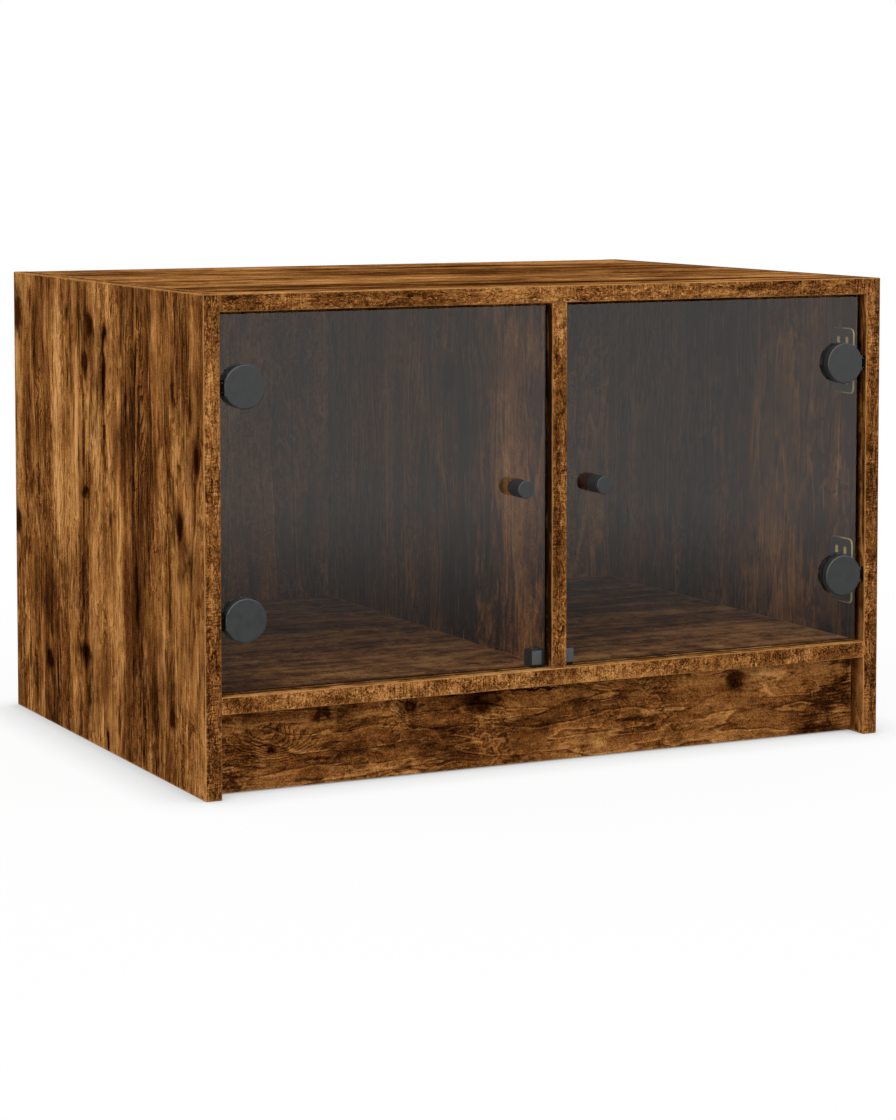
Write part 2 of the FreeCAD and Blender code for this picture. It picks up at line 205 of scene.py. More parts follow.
# The decor's colours, their places on its scale of tones, and its mean tone
LIGHT_OAK = linear(216, 160, 97)
PALE_OAK = linear(172, 117, 62)
MID_OAK = linear(131, 82, 39)
BROWN_OAK = linear(93, 53, 22)
DARK_OAK = linear(48, 25, 10)
SOOT = linear(84, 66, 52)
SCUFFED_OAK = linear(192, 140, 88)
TONE_SCALE = ((0.10, DARK_OAK), (0.32, BROWN_OAK), (0.50, MID_OAK), (0.70, PALE_OAK), (1.0, LIGHT_OAK))
MEAN_TONE = 0.48

# The decor's noises: features per metre across, into and along the grain, then detail, and roughness and
# distortion where they differ from the usual
SLOW_BEND = ((6, 6, 2.0), 2)
QUICK_BEND = ((40, 40, 18), 2)
RING_BEND = ((7, 7, 3.5), 1)
RING_PATCHES = ((10, 10, 5), 2)
STRIPES = ((14, 14, 1.5), 2)
COLUMNS = ((48, 48, 1.6), 1)
STREAKS = ((70, 70, 6.0), 2)
PATCHES = ((24, 24, 13), 3, 0.55)
MOTTLE = ((230, 230, 110), 3, 0.75)
FIBRE = ((620, 620, 30), 2, 0.6)
SPECKS = ((800, 800, 600), 1)
LINES = ((55, 55, 4.5), 2)
WORMS = ((95, 95, 40), 2, 0.5, 0.8)
WORM_PATCHES = ((14, 14, 8), 2)
SCUFFS = ((330, 330, 30), 2)
BLOTS = ((19, 19, 12), 4, 0.6)
SLITS = ((95, 95, 14), 3, 0.65)
DASHES = ((260, 260, 80), 2)
PORES = ((1000, 1000, 850), 1)
SAW_MARKS = ((90, 90, 700), 1)
SAW_PATCHES = ((18, 18, 18), 2)
RAGGED_ACROSS = ((60, 60, 40), 3, 0.6)
RAGGED_ALONG = ((70, 70, 45), 3, 0.6)

# How far the grain wanders to the side, in metres
SLOW_WANDER = 0.030
QUICK_WANDER = 0.005

# Small knots: cells per metre, a knot's least reach and what chance adds to it, in cells, and the draws
# between which cells start to have one
KNOT_CELLS = (17, 17, 9)
KNOT_REACH = 0.07
KNOT_MORE_REACH = 0.12
KNOT_DRAW = (0.52, 0.62)

# Growth rings: how many there are to a metre of the field that they follow, how far small knots and bends
# move it, in metres, how sharp the rings are, and how strongly they show at the placed knots and in patches
RINGS_PER_METRE = 240.0
RING_HUMP = 0.03
RING_SLOW_BEND = 0.10
RING_QUICK_BEND = 0.004
RING_SHARPNESS = 2.5
RING_MEAN = 0.3
KNOT_FIELD = (0.001, 0.005)
KNOT_RINGS = 0.36
RINGED = (0.47, 0.62)
PATCH_RINGS = 0.24

# How strongly the noises move the tone. The first five make the large figure.
STRIPE_WEIGHT = 1.15
COLUMN_WEIGHT = 0.85
STREAK_WEIGHT = 0.45
PATCH_WEIGHT = 0.85
MOTTLE_WEIGHT = 0.60
FIBRE_WEIGHT = 0.36
SPECK_WEIGHT = 0.25

# Lines along the grain, and short bent ones in patches: how thin and how strong they are, and the values
# between which the patches come up
LINE_STEEPNESS = 38.0
LINE_WEIGHT = 0.42
WORM_STEEPNESS = 20.0
WORM_WEIGHT = 0.36
WORMED = (0.42, 0.60)

# Scuffs, blots, slits and dashes: the values between which each comes up, and how strongly it shows
SCUFFED = (0.62, 0.74)
SCUFF_SHARE = 0.48
BLOTTED = (0.03, 0.32)
BLOT_MOTTLE = 0.45
BLOT_AT_KNOTS = 0.25
BLOT_AT_WORMS = 0.12
SLIT = (0.57, 0.67)
SLIT_SHARE = 0.8
DASHED = (0.60, 0.70)
DASH_SHARE = 0.5

# The decor's relief: what raises it and what cuts into it
RAISED_FIBRE = 0.6
RAISED_MOTTLE = 0.4
CUT_DASHES = -0.4

# Knots, stains and lighter or darker areas that show on a board. Each has its place across and
# along the grain, its half width and half length, in millimetres of the table's frame, and its strength.
KNOTS = {
    "left_side_panel": (
        (-218, 329, 13, 12, 0.014), (-104, 400, 13, 85, 0.024), (170, 315, 20, 22, 0.015),
        (10, 190, 12, 25, 0.013),
    ),
    "front_plinth": ((58, -140, 12, 14, 0.013), (40, -265, 14, 30, 0.014)),
}
STAINS = {
    "left_side_panel": (
        (245, 388, 12, 30, 0.30), (198, 390, 8, 16, 0.28), (178, 338, 13, 10, 0.32), (40, 388, 10, 15, 0.30),
        (50, 353, 7, 11, 0.40), (-5, 383, 7, 9, 0.36), (0, 345, 3.5, 32, 0.38), (205, 223, 12, 18, 0.36),
        (50, 233, 11, 6, 0.42), (-172, 350, 6, 20, 0.25), (-227, 290, 8, 16, 0.36), (-187, 230, 8, 13, 0.30),
        (105, 145, 26, 30, 0.24), (55, 83, 25, 13, 0.42), (155, 60, 12, 13, 0.40), (43, 45, 8, 24, 0.30),
        (-170, 58, 7, 10, 0.36), (-5, 10, 3, 10, 0.50), (-97, 15, 6, 15, 0.32), (235, 130, 20, 9, 0.30),
        (245, 180, 12, 17, 0.34), (-85, 150, 8, 50, 0.22),
    ),
    "front_plinth": (
        (60, -225, 7, 14, 0.34), (34, -270, 4, 6, 0.30), (58, -140, 12, 12, 0.30), (60, 195, 10, 16, 0.30),
        (68, -15, 1.6, 35, 0.50), (57, -65, 10, 30, 0.20), (5, 290, 6, 35, 0.25), (64, 317, 6, 8, 0.30),
    ),
}
# Among these, the narrow strips near the front are painted light and shade: on the centre divider a darker
# strip is painted shade in the reveal before the pane, and on the right side panel and the bottom panel
# lighter strips are painted light on the reveal and the ledge before the panes.
AREAS_AND_PAINTED_LIGHT = {
    "left_side_panel": (
        (135, 360, 60, 80, 0.12), (75, 250, 50, 90, 0.10), (15, 180, 20, 60, 0.16),
        (-15, 310, 30, 120, -0.10), (-135, 200, 50, 200, -0.05), (-225, 300, 12, 200, 0.10),
        (135, 110, 70, 60, -0.12), (30, 40, 12, 50, 0.16),
    ),
    "centre_divider": ((-238, 250, 5, 500, -0.28), (-185, 180, 55, 250, -0.14)),
    "bottom_panel": ((-240, 0, 5, 900, 0.14), (0, 0, 900, 1400, 0.10)),
    "right_side_panel": ((-239, 250, 4, 500, 0.20),),
    "front_plinth": ((36, 0, 400, 900, -0.01),),
}
MILLIMETRE = 0.001

# How far noise shakes those places across and along the grain, in metres
SHAKE_ACROSS = 0.016
SHAKE_ALONG = 0.024

# Edge bands: how far a surface faces along the board's thickness where they start and are full, and how much
# the decor is stretched and shifted on them, beyond its places on the faces
BAND_FACING = (0.6, 0.4)
BAND_STRETCH = (1.6, 1.6, 4.5)
BAND_SHIFT = (0.37, 0.0, 0.53)

# How much the bands' tone differs from the faces', and on which boards it differs by another amount
BAND_DARKER = -0.10
BAND_TONE = {"bottom_panel": -0.11, "top_panel": 0.0, "left_side_panel": -0.04, "right_side_panel": -0.12,
             "centre_divider": 0.10}

# How strongly a board's faces show the large figure, where that isn't 1, how strongly the bands show it, how
# much fewer blots they have, and how strongly the pores and, in places, the saw marks show
FACE_FIGURE = {"front_plinth": 0.80, "top_panel": 1.20}
BAND_FIGURE = 0.62
BAND_STAINS = -0.16
FACE_PORES = 0.60
BAND_PORES = 0.90
SAW_WEIGHT = 0.85
SAWN = (0.42, 0.60)

# Worn edges with a painted highlight: how unevenly they reach, and where they start and are full, in metres
# from the edge, which way the edges with the most painted highlight face, and between which amounts of that
# the lightening grows from least to most
RUB_AND_HIGHLIGHT_SHAKE = 0.004
RUB_AND_HIGHLIGHT_REACH = (0.0018, 0.0004)
EDGE_HIGHLIGHT_SIDE = (-0.75, 0.0, 0.65)
EDGE_HIGHLIGHT_FACING = (-0.05, 0.35)
RUB_AND_HIGHLIGHT_SHARE = (0.08, 0.40)

# The surface's roughness in its hollows and on its heights, and its bump, with its depth in metres
OAK_ROUGHNESS = (0.92, 0.80)
OAK_BUMP = 0.25
OAK_BUMP_DEPTH = 0.0004

# Each board's axes across, into and along its grain, how much finer than usual its decor is printed along
# these, and where in the decor it is cut from, in metres
BOARDS = {
    "left_side_panel": ((1, 0, 2), (1.0, 1.0, 1.0), (0.31, 0.0, 0.2)),
    "right_side_panel": ((1, 0, 2), (0.65, 1.0, 0.85), (1.7, 0.0, 0.9)),
    "centre_divider": ((1, 0, 2), (0.6, 1.0, 0.85), (2.9, 0.0, 1.6)),
    "back_panel": ((0, 1, 2), (0.7, 1.0, 0.85), (4.1, 0.0, 2.2)),
    "top_panel": ((1, 2, 0), (1.4, 1.0, 1.2), (5.3, 0.0, 3.1)),
    "bottom_panel": ((1, 2, 0), (1.4, 1.0, 3.2), (6.7, 0.0, 3.9)),
    "front_plinth": ((2, 1, 0), (1.1, 1.0, 2.0), (8.2, 0.0, 4.7)),
}


def make_oak_group():
    """The printed decor. Its grain vector holds metres across, into and along the grain."""
    group = bpy.data.node_groups.new("rustic_oak", "ShaderNodeTree")
    face = group.interface
    face.new_socket("Grain", in_out="INPUT", socket_type="NodeSocketVector")
    for name in ("Knots", "Stains", "Areas", "Figure"):
        face.new_socket(name, in_out="INPUT", socket_type="NodeSocketFloat")
    face.new_socket("Color", in_out="OUTPUT", socket_type="NodeSocketColor")
    face.new_socket("Height", in_out="OUTPUT", socket_type="NodeSocketFloat")
    t = Tree(group)
    source = t.tree.nodes.new("NodeGroupInput")
    grain, knots, stains, areas_and_painted_light, figure_share = source.outputs[:5]

    # The grain wanders a little from side to side.
    slow_bend = t.noise(grain, *SLOW_BEND)
    quick_bend = t.noise(grain, *QUICK_BEND)
    wander = t.weighted(0.0, (SLOW_WANDER, slow_bend), (QUICK_WANDER, quick_bend))
    bent = t.vector("ADD", grain, t.join(wander, 0.0, 0.0))

    # Small knots lie at random, in some of the cells that part the board.
    cells = t.new("TexVoronoi", {"Vector": t.vector("MULTIPLY", bent, KNOT_CELLS), "Scale": 1.0})
    draw = t.split(cells.outputs["Color"])
    reach = t.math("MULTIPLY_ADD", draw[1], KNOT_MORE_REACH, KNOT_REACH)
    near = t.math("DIVIDE", cells.outputs["Distance"], reach)
    knot = t.fade(t.math("MULTIPLY", near, near))
    knot = t.math("MULTIPLY", knot, t.span(draw[0], *KNOT_DRAW))

    # Growth rings are level lines of a field that rises across the board and humps at its knots.
    growth = t.math("ADD", t.split(bent)[0], knots)
    growth = t.math("MULTIPLY_ADD", knot, RING_HUMP, growth)
    ring_bend = t.noise(grain, *RING_BEND)
    growth = t.weighted(growth, (RING_SLOW_BEND, ring_bend), (RING_QUICK_BEND, quick_bend))
    phase = t.math("FRACT", t.math("MULTIPLY", growth, RINGS_PER_METRE))
    rings = t.math("POWER", phase, RING_SHARPNESS)
    in_patches = t.math("MULTIPLY", t.span(t.noise(grain, *RING_PATCHES), *RINGED), PATCH_RINGS)
    ring_weight = t.math("MULTIPLY_ADD", t.span(knots, *KNOT_FIELD), KNOT_RINGS, in_patches)

    # The large figure, the fine grain, the lines and the rings add up to a tone.
    mottle = t.noise(bent, *MOTTLE)
    fibre = t.noise(bent, *FIBRE)
    lines = t.relief(t.noise(bent, *LINES), LINE_STEEPNESS)
    worms = t.relief(t.noise(grain, *WORMS), WORM_STEEPNESS)
    worms = t.math("MULTIPLY", worms, t.span(t.noise(grain, *WORM_PATCHES), *WORMED))
    figure = t.weighted(
        0.0, (STRIPE_WEIGHT, t.noise(bent, *STRIPES)), (COLUMN_WEIGHT, t.noise(bent, *COLUMNS)),
        (STREAK_WEIGHT, t.noise(bent, *STREAKS)), (PATCH_WEIGHT, t.noise(grain, *PATCHES)),
        (MOTTLE_WEIGHT, mottle))
    tone = t.math("MULTIPLY_ADD", figure, figure_share, areas_and_painted_light)
    tone = t.weighted(tone, (FIBRE_WEIGHT, fibre), (SPECK_WEIGHT, t.noise(grain, *SPECKS)))
    tone = t.math("ADD", tone, MEAN_TONE)
    tone = t.math("MULTIPLY_ADD", lines, LINE_WEIGHT, tone)
    tone = t.math("MULTIPLY_ADD", worms, WORM_WEIGHT, tone)
    tone = t.math("MULTIPLY_ADD", t.math("SUBTRACT", RING_MEAN, rings), ring_weight, tone)
    colour = t.ramp(tone, TONE_SCALE)

    # Light scuffs along the grain
    scuff = t.span(t.noise(bent, *SCUFFS), *SCUFFED, 0.0, SCUFF_SHARE)
    colour = t.blend(scuff, colour, SCUFFED_OAK)

    # Smoked blots, narrow slits along the grain and small dark dashes
    blot = t.weighted(stains, (1.0, t.noise(bent, *BLOTS)), (BLOT_MOTTLE, mottle))
    blot = t.math("MULTIPLY_ADD", knot, BLOT_AT_KNOTS, blot)
    blot = t.math("MULTIPLY_ADD", worms, BLOT_AT_WORMS, blot)
    blot = t.span(blot, *BLOTTED)
    slit = t.span(t.noise(bent, *SLITS), *SLIT)
    dash = t.span(t.noise(bent, *DASHES), *DASHED)
    dark = t.math("MAXIMUM", blot, t.math("MULTIPLY", slit, SLIT_SHARE))
    dark = t.math("MAXIMUM", dark, t.math("MULTIPLY", dash, DASH_SHARE))
    colour = t.blend(dark, colour, t.blend(1.0, colour, SOOT, "MULTIPLY"))

    height = t.weighted(0.5, (RAISED_FIBRE, fibre), (RAISED_MOTTLE, mottle))
    height = t.math("MULTIPLY_ADD", dash, CUT_DASHES, height)
    target = t.tree.nodes.new("NodeGroupOutput")
    t.tree.links.new(colour, target.inputs[0])
    t.tree.links.new(height, target.inputs[1])
    return group


def add_spots(t, place, spots):
    """The sum of soft round spots. place holds metres across, into and along the grain."""
    total = 0.0
    for across, along, half_width, half_length, strength in spots:
        offset = t.vector("SUBTRACT", place, (across * MILLIMETRE, 0.0, along * MILLIMETRE))
        shape = (1 / (half_width * MILLIMETRE), 0.0, 1 / (half_length * MILLIMETRE))
        scaled = t.vector("MULTIPLY", offset, shape)
        total = t.math("MULTIPLY_ADD", t.fade(t.dot(scaled, scaled)), strength, total)
    return total


def edge_distance(t, board):
    """How far a point on a board's surface is from the nearest edge of the board, in metres."""
    low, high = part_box(board)
    middle = (low + high) / 2
    half = (high - low) / 2
    reach = t.vector("ABSOLUTE", t.vector("SUBTRACT", t.object_place(), tuple(middle)))
    depths = t.split(t.vector("SUBTRACT", tuple(half), reach))
    lesser = t.math("MINIMUM", depths[0], depths[1])
    greater = t.math("MAXIMUM", depths[0], depths[1])
    return t.math("MAXIMUM", lesser, t.math("MINIMUM", greater, depths[2]))


def make_oak_material(board, oak, axes, fineness, offset):
    """The decor on one board. axes gives the object's axes that lie across, into and along the grain."""
    material, t = new_material(board + "_oak")
    axis_places = t.split(t.object_place())
    place = t.join(*(axis_places[axis] for axis in axes))
    banded = t.span(t.facing()[axes[1]], *BAND_FACING)

    # The edge bands carry another stretch of the decor, printed finer and shorter.
    grain = t.vector("MULTIPLY_ADD", place, fineness, offset)
    band_shift = t.vector("MULTIPLY_ADD", grain, BAND_STRETCH, BAND_SHIFT)
    grain = t.vector("MULTIPLY_ADD", band_shift, banded, grain)

    # Pores dot the whole decor, most strongly on the bands. Saw marks cross the bands in places.
    pores = t.noise(place, *PORES)
    pore_weight = t.math("MULTIPLY_ADD", banded, BAND_PORES - FACE_PORES, FACE_PORES)
    saw_marks = t.noise(place, *SAW_MARKS)
    sawn = t.span(t.noise(place, *SAW_PATCHES), *SAWN, 0.0, SAW_WEIGHT)
    saw_weight = t.math("MULTIPLY", banded, sawn)

    # What was placed by hand gets ragged outlines.
    ragged_across = t.noise(grain, *RAGGED_ACROSS)
    ragged_along = t.noise(grain, *RAGGED_ALONG)
    shake_across = t.weighted(0.0, (SHAKE_ACROSS, ragged_across))
    shake_along = t.weighted(0.0, (SHAKE_ALONG, ragged_along))
    spot_place = t.vector("ADD", place, t.join(shake_across, 0.0, shake_along))
    group = t.tree.nodes.new("ShaderNodeGroup")
    group.node_tree = oak
    t.feed(group.inputs["Grain"], grain)
    t.feed(group.inputs["Knots"], add_spots(t, spot_place, KNOTS.get(board, ())))
    stains = add_spots(t, spot_place, STAINS.get(board, ()))
    t.feed(group.inputs["Stains"], t.math("MULTIPLY_ADD", banded, BAND_STAINS, stains))
    face_figure = FACE_FIGURE.get(board, 1.0)
    t.feed(group.inputs["Figure"], t.math("MULTIPLY_ADD", banded, BAND_FIGURE - face_figure, face_figure))
    # These add lighter and darker tone, with the painted light and shade strips near the front.
    areas_and_painted_light = add_spots(t, spot_place, AREAS_AND_PAINTED_LIGHT.get(board, ()))
    areas_and_painted_light = t.math("MULTIPLY_ADD", banded, BAND_TONE.get(board, BAND_DARKER), areas_and_painted_light)
    t.feed(group.inputs["Areas"], t.weighted(areas_and_painted_light, (pore_weight, pores), (saw_weight, saw_marks)))

    # Edges are worn lighter, unevenly, and a painted highlight lightens most of all those that face up or to
    # the left.
    uneven = t.math("SUBTRACT", ragged_along, 0.5)
    rub_and_highlight = t.span(t.math("MULTIPLY_ADD", uneven, RUB_AND_HIGHLIGHT_SHAKE, edge_distance(t, board)), *RUB_AND_HIGHLIGHT_REACH)
    lit_facing = t.span(t.dot(t.normal(), EDGE_HIGHLIGHT_SIDE), *EDGE_HIGHLIGHT_FACING, *RUB_AND_HIGHLIGHT_SHARE)
    colour = t.blend(t.math("MULTIPLY", rub_and_highlight, lit_facing), group.outputs["Color"], LIGHT_OAK)
    height = group.outputs["Height"]
    roughness = t.span(height, *NOISE_RANGE, *OAK_ROUGHNESS)
    bump = t.new("Bump", {"Strength": OAK_BUMP, "Distance": OAK_BUMP_DEPTH, "Height": height})
    t.finish(t.new("BsdfPrincipled", {
        "Base Color": colour, "Roughness": roughness, "Specular IOR Level": 0.0, "Normal": bump.outputs[0]}))
    return material


# Glass

# What one face of a pane and its ground edge let through, the colour of the mirror on the outer face and the
# index that sets its strength, and how far a surface faces forwards where the ground edge starts and is full
PANE_PASS = (0.75, 0.75, 0.75, 1.0)
EDGE_PASS = (0.05, 0.06, 0.055, 1.0)
MIRROR = (1.0, 0.97, 0.92, 1.0)
MIRROR_IOR = 1.58
GROUND_FACING = (0.95, 0.6)


def make_glass_material():
    """Smoked glass: a grey pass with a mirror on its outer face. It lets the light of the room in."""
    material, t = new_material("smoked_glass")
    ground = t.span(t.facing()[1], *GROUND_FACING)
    clear = t.new("BsdfTransparent", {"Color": t.blend(ground, PANE_PASS, EDGE_PASS)})
    mirror = t.new("BsdfGlossy", {"Color": MIRROR, "Roughness": 0.0})
    inside = t.new("NewGeometry").outputs["Backfacing"]
    share = t.new("Fresnel", {"IOR": MIRROR_IOR}).outputs[0]
    share = t.math("MULTIPLY", share, t.rest(inside))
    pane = t.new("MixShader", {0: share, 1: clear.outputs[0], 2: mirror.outputs[0]})
    ray = t.new("LightPath").outputs
    lighting = t.math("MAXIMUM", ray["Is Shadow Ray"], ray["Is Diffuse Ray"])
    lighting = t.math("MULTIPLY", lighting, t.rest(ground))
    open_pane = t.new("BsdfTransparent", {"Color": WHITE})
    t.finish(t.new("MixShader", {0: lighting, 1: pane.outputs[0], 2: open_pane.outputs[0]}))
    return material


# Fittings

# Cloudy tones and a fine grain: the clouds' noise, the grain's detail and roughness, the grain's share in the
# tones, their contrast, and the depth of the relief in metres
CLOUDS = ((150, 150, 150), 4, 0.6)
GRAIN_DETAIL = (2, 0.6)
GRAIN_SHARE = 0.6
CONTRAST = (0.25, 0.75)
RELIEF_DEPTH = 0.0001

# Each plain finish: its dark and light tone, the two values that its roughness varies between, its grains per
# metre, its bump and how metallic it is
FITTINGS = {
    "grey_steel": (linear(104, 107, 109), linear(122, 125, 127), (0.4, 0.55), 2200, 0.12, 0.3),
    "bright_steel": (linear(176, 175, 170), linear(206, 205, 200), (0.22, 0.38), 1800, 0.08, 1.0),
    "gasket": (linear(30, 30, 30), linear(46, 46, 45), (0.68, 0.84), 1500, 0.3, 0.0),
    "clear_plastic": (linear(50, 49, 47), linear(66, 64, 61), (0.26, 0.4), 900, 0.05, 0.0),
    "black_plastic": (linear(34, 34, 35), linear(46, 46, 47), (0.44, 0.6), 1600, 0.3, 0.0),
    "magnet": (linear(70, 70, 72), linear(104, 104, 104), (0.4, 0.6), 2400, 0.2, 0.6),
    "cast_zinc": (linear(158, 158, 156), linear(196, 196, 193), (0.38, 0.58), 1200, 0.3, 1.0),
}

# A hinge plate's own rectangle, in metres
PLATE_DEPTH = 0.037
PLATE_CORNER = 0.006
PLATE_THICKNESS = 0.0018

# Its brass, with a painted glint, in metres: the rim's width and soft inner edge, how high over the side
# panel it starts and is full, how far before and behind the plate's middle it changes, and how deep below the
# plate's face the slots start and are full. The painted glint is brightest at the front; towards the rear a
# share of it is left.
PLATE_RIM = 0.0010
PLATE_RIM_EDGE = 0.0003
PLATE_RIM_HEIGHT = (0.0006, 0.0009)
PLATE_RIM_CHANGE = 0.004
PLATE_SLOT_DEPTH = (0.0002, 0.0004)
PLATE_REAR_GLINT = 0.25

# Its finish: the noises of its clouds and brushing, its tones and its brass tones with their painted glint,
# how metallic its rim is, and its roughness, bump and gloss
PLATE_CLOUDS = ((200, 200, 200), 3, 0.6)
PLATE_BRUSHING = ((3000, 3000, 120), 2, 0.6)
PLATE_DARK = linear(52, 52, 52)
PLATE_LIGHT = linear(70, 70, 69)
BRASS_GLINT_DARK = linear(250, 216, 134)
BRASS_GLINT_LIGHT = linear(255, 234, 166)
BRASS_METALLIC = 0.5
PLATE_ROUGHNESS = (0.32, 0.5)
PLATE_BUMP = 0.1
PLATE_SPECULAR = 0.3

# Knuckles between plates and caps, painted black and without gloss as shade: how far in front of a plate they
# start and are full, and how far from the table's middle beside a cap, in metres
KNUCKLE_BEFORE_PLATE = (0.001, 0.002)
KNUCKLE_BESIDE_CAP = (0.3208, 0.3211)
KNUCKLE_SHADE_BLACK = linear(14, 12, 10)

# Powder coat: its tones and the colour of a painted highlight on its rims, its roughness, grains per metre,
# bump and gloss, how far a surface faces forwards where its rounding starts and ends, and which way the
# painted highlight faces
COAT_DARK = linear(38, 39, 40)
COAT_LIGHT = linear(48, 49, 50)
COAT_HIGHLIGHT = linear(74, 76, 78)
COAT_ROUGHNESS = (0.36, 0.50)
COAT_GRAIN = 2600
COAT_BUMP = 0.15
COAT_SPECULAR = 0.5
ROUNDED_FROM_FACE = (0.985, 0.90)
ROUNDED_FROM_SIDE = (0.10, 0.40)
COAT_HIGHLIGHT_SIDE = (-0.55, 0.0, 0.83)
COAT_HIGHLIGHT_FACING = (0.0, 0.5)

# Beech: its clouds and flecks, its tones, and its roughness, bump and gloss, with the bump's depth in metres
BEECH_CLOUDS = ((160, 160, 160), 3, 0.6)
BEECH_FLECKS = ((500, 500, 500), 2)
FLECKED = (0.58, 0.72)
FLECK_SHARE = 0.6
BEECH_DARK = linear(196, 158, 112)
BEECH_LIGHT = linear(222, 186, 140)
BEECH_FLECK = linear(150, 108, 68)
BEECH_ROUGHNESS = (0.6, 0.8)
BEECH_BUMP = 0.2
BEECH_BUMP_DEPTH = 0.0002
BEECH_SPECULAR = 0.3


def add_cloudy_tones(t, dark, light, grain):
    """A colour that goes from dark to light in clouds and grains, and the noises of both."""
    place = t.object_place()
    cloud = t.noise(place, *CLOUDS)
    fine = t.noise(place, (grain, grain, grain), *GRAIN_DETAIL)
    share = t.span(t.weighted(0.5, (1.0, cloud), (GRAIN_SHARE, fine)), *CONTRAST)
    return t.blend(share, dark, light), cloud, fine


def make_fitting(name, dark, light, roughness, grain, bump, metallic):
    """A plain finish with cloudy tones, a roughness that varies between two values and a fine grain."""
    material, t = new_material(name)
    colour, cloud, fine = add_cloudy_tones(t, dark, light, grain)
    rough = t.span(cloud, *NOISE_RANGE, *roughness)
    relief = t.new("Bump", {"Strength": bump, "Distance": RELIEF_DEPTH, "Height": fine})
    t.finish(t.new("BsdfPrincipled", {
        "Base Color": colour, "Roughness": rough, "Metallic": metallic, "Normal": relief.outputs[0]}))
    return material


def make_hinge_plate_material(node):
    """Dark plating on one hinge plate; brass with a painted glint on rim and slots. The knuckle is painted
    black as shade.
    """
    material, t = new_material(node)
    place = t.object_place()
    x, y = t.split(place)[:2]
    low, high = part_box(node)
    plate_front = high.y - PLATE_DEPTH
    middle_y = high.y - PLATE_DEPTH / 2
    middle_z = (low.z + high.z) / 2
    half_height = (high.z - low.z) / 2

    # How near a point is to the plate's rounded outline
    from_middle = t.vector("ABSOLUTE", t.vector("SUBTRACT", place, (0.0, middle_y, middle_z)))
    inset = (0.0, PLATE_DEPTH / 2 - PLATE_CORNER, half_height - PLATE_CORNER)
    past_corner = t.vector("MAXIMUM", t.vector("SUBTRACT", from_middle, inset), (0.0, 0.0, 0.0))
    past_corner = t.vector("MULTIPLY", past_corner, (0.0, 1.0, 1.0))
    rim_start = PLATE_CORNER - PLATE_RIM
    outline = t.span(t.length(past_corner), rim_start - PLATE_RIM_EDGE, rim_start)

    # The rim and the slots are brass with a painted glint, and the rim's painted glint is brightest at the
    # front.
    outer = max(abs(low.x), abs(high.x))
    thickness = t.math("SUBTRACT", outer, t.math("ABSOLUTE", x))
    rim = t.math("MULTIPLY", outline, t.span(thickness, *PLATE_RIM_HEIGHT))
    rim_rear = middle_y + PLATE_RIM_CHANGE
    rim_front = middle_y - PLATE_RIM_CHANGE
    rim = t.math("MULTIPLY", rim, t.span(y, rim_rear, rim_front, PLATE_REAR_GLINT, 1.0))
    slot = t.span(thickness, *(PLATE_THICKNESS - depth for depth in PLATE_SLOT_DEPTH))
    slot = t.math("MULTIPLY", slot, t.rest(outline))
    brass = t.math("MAXIMUM", rim, slot)
    # In front of the plate lies the knuckle, painted near black and without gloss as shade.
    knuckle = t.span(y, *(plate_front - distance for distance in KNUCKLE_BEFORE_PLATE))

    cloud = t.noise(place, *PLATE_CLOUDS)
    brushed = t.noise(place, *PLATE_BRUSHING)
    faces = t.blend(t.span(brushed, *NOISE_RANGE), PLATE_DARK, PLATE_LIGHT)
    bright = t.blend(t.span(cloud, *NOISE_RANGE), BRASS_GLINT_DARK, BRASS_GLINT_LIGHT)
    colour = t.blend(brass, faces, bright)
    colour = t.blend(knuckle, colour, KNUCKLE_SHADE_BLACK)
    rough = t.span(cloud, *NOISE_RANGE, *PLATE_ROUGHNESS)
    relief = t.new("Bump", {"Strength": PLATE_BUMP, "Distance": RELIEF_DEPTH, "Height": brushed})
    t.finish(t.new("BsdfPrincipled", {
        "Base Color": colour, "Roughness": rough, "Metallic": t.math("MULTIPLY", rim, BRASS_METALLIC),
        "Specular IOR Level": t.span(knuckle, 0.0, 1.0, PLATE_SPECULAR, 0.0), "Normal": relief.outputs[0]}))
    return material


def make_black_metal_material():
    """Powder coat with a painted highlight on rounded rims. The knuckles beside the caps are painted black as
    shade.
    """
    material, t = new_material("black_metal")
    colour, cloud, fine = add_cloudy_tones(t, COAT_DARK, COAT_LIGHT, COAT_GRAIN)
    # A painted highlight lightens the rounded rims that face up and to the left.
    forwards = t.facing()[1]
    rounded = t.math("MULTIPLY", t.span(forwards, *ROUNDED_FROM_FACE), t.span(forwards, *ROUNDED_FROM_SIDE))
    lit_facing = t.span(t.dot(t.normal(), COAT_HIGHLIGHT_SIDE), *COAT_HIGHLIGHT_FACING)
    colour = t.blend(t.math("MULTIPLY", rounded, lit_facing), colour, COAT_HIGHLIGHT)
    # The knuckles beside the caps are painted near black and without gloss as shade.
    beside = t.math("ABSOLUTE", t.split(t.object_place())[0])
    knuckle = t.span(beside, *KNUCKLE_BESIDE_CAP)
    colour = t.blend(knuckle, colour, KNUCKLE_SHADE_BLACK)
    rough = t.span(cloud, *NOISE_RANGE, *COAT_ROUGHNESS)
    relief = t.new("Bump", {"Strength": COAT_BUMP, "Distance": RELIEF_DEPTH, "Height": fine})
    t.finish(t.new("BsdfPrincipled", {
        "Base Color": colour, "Roughness": rough,
        "Specular IOR Level": t.span(knuckle, 0.0, 1.0, COAT_SPECULAR, 0.0), "Normal": relief.outputs[0]}))
    return material


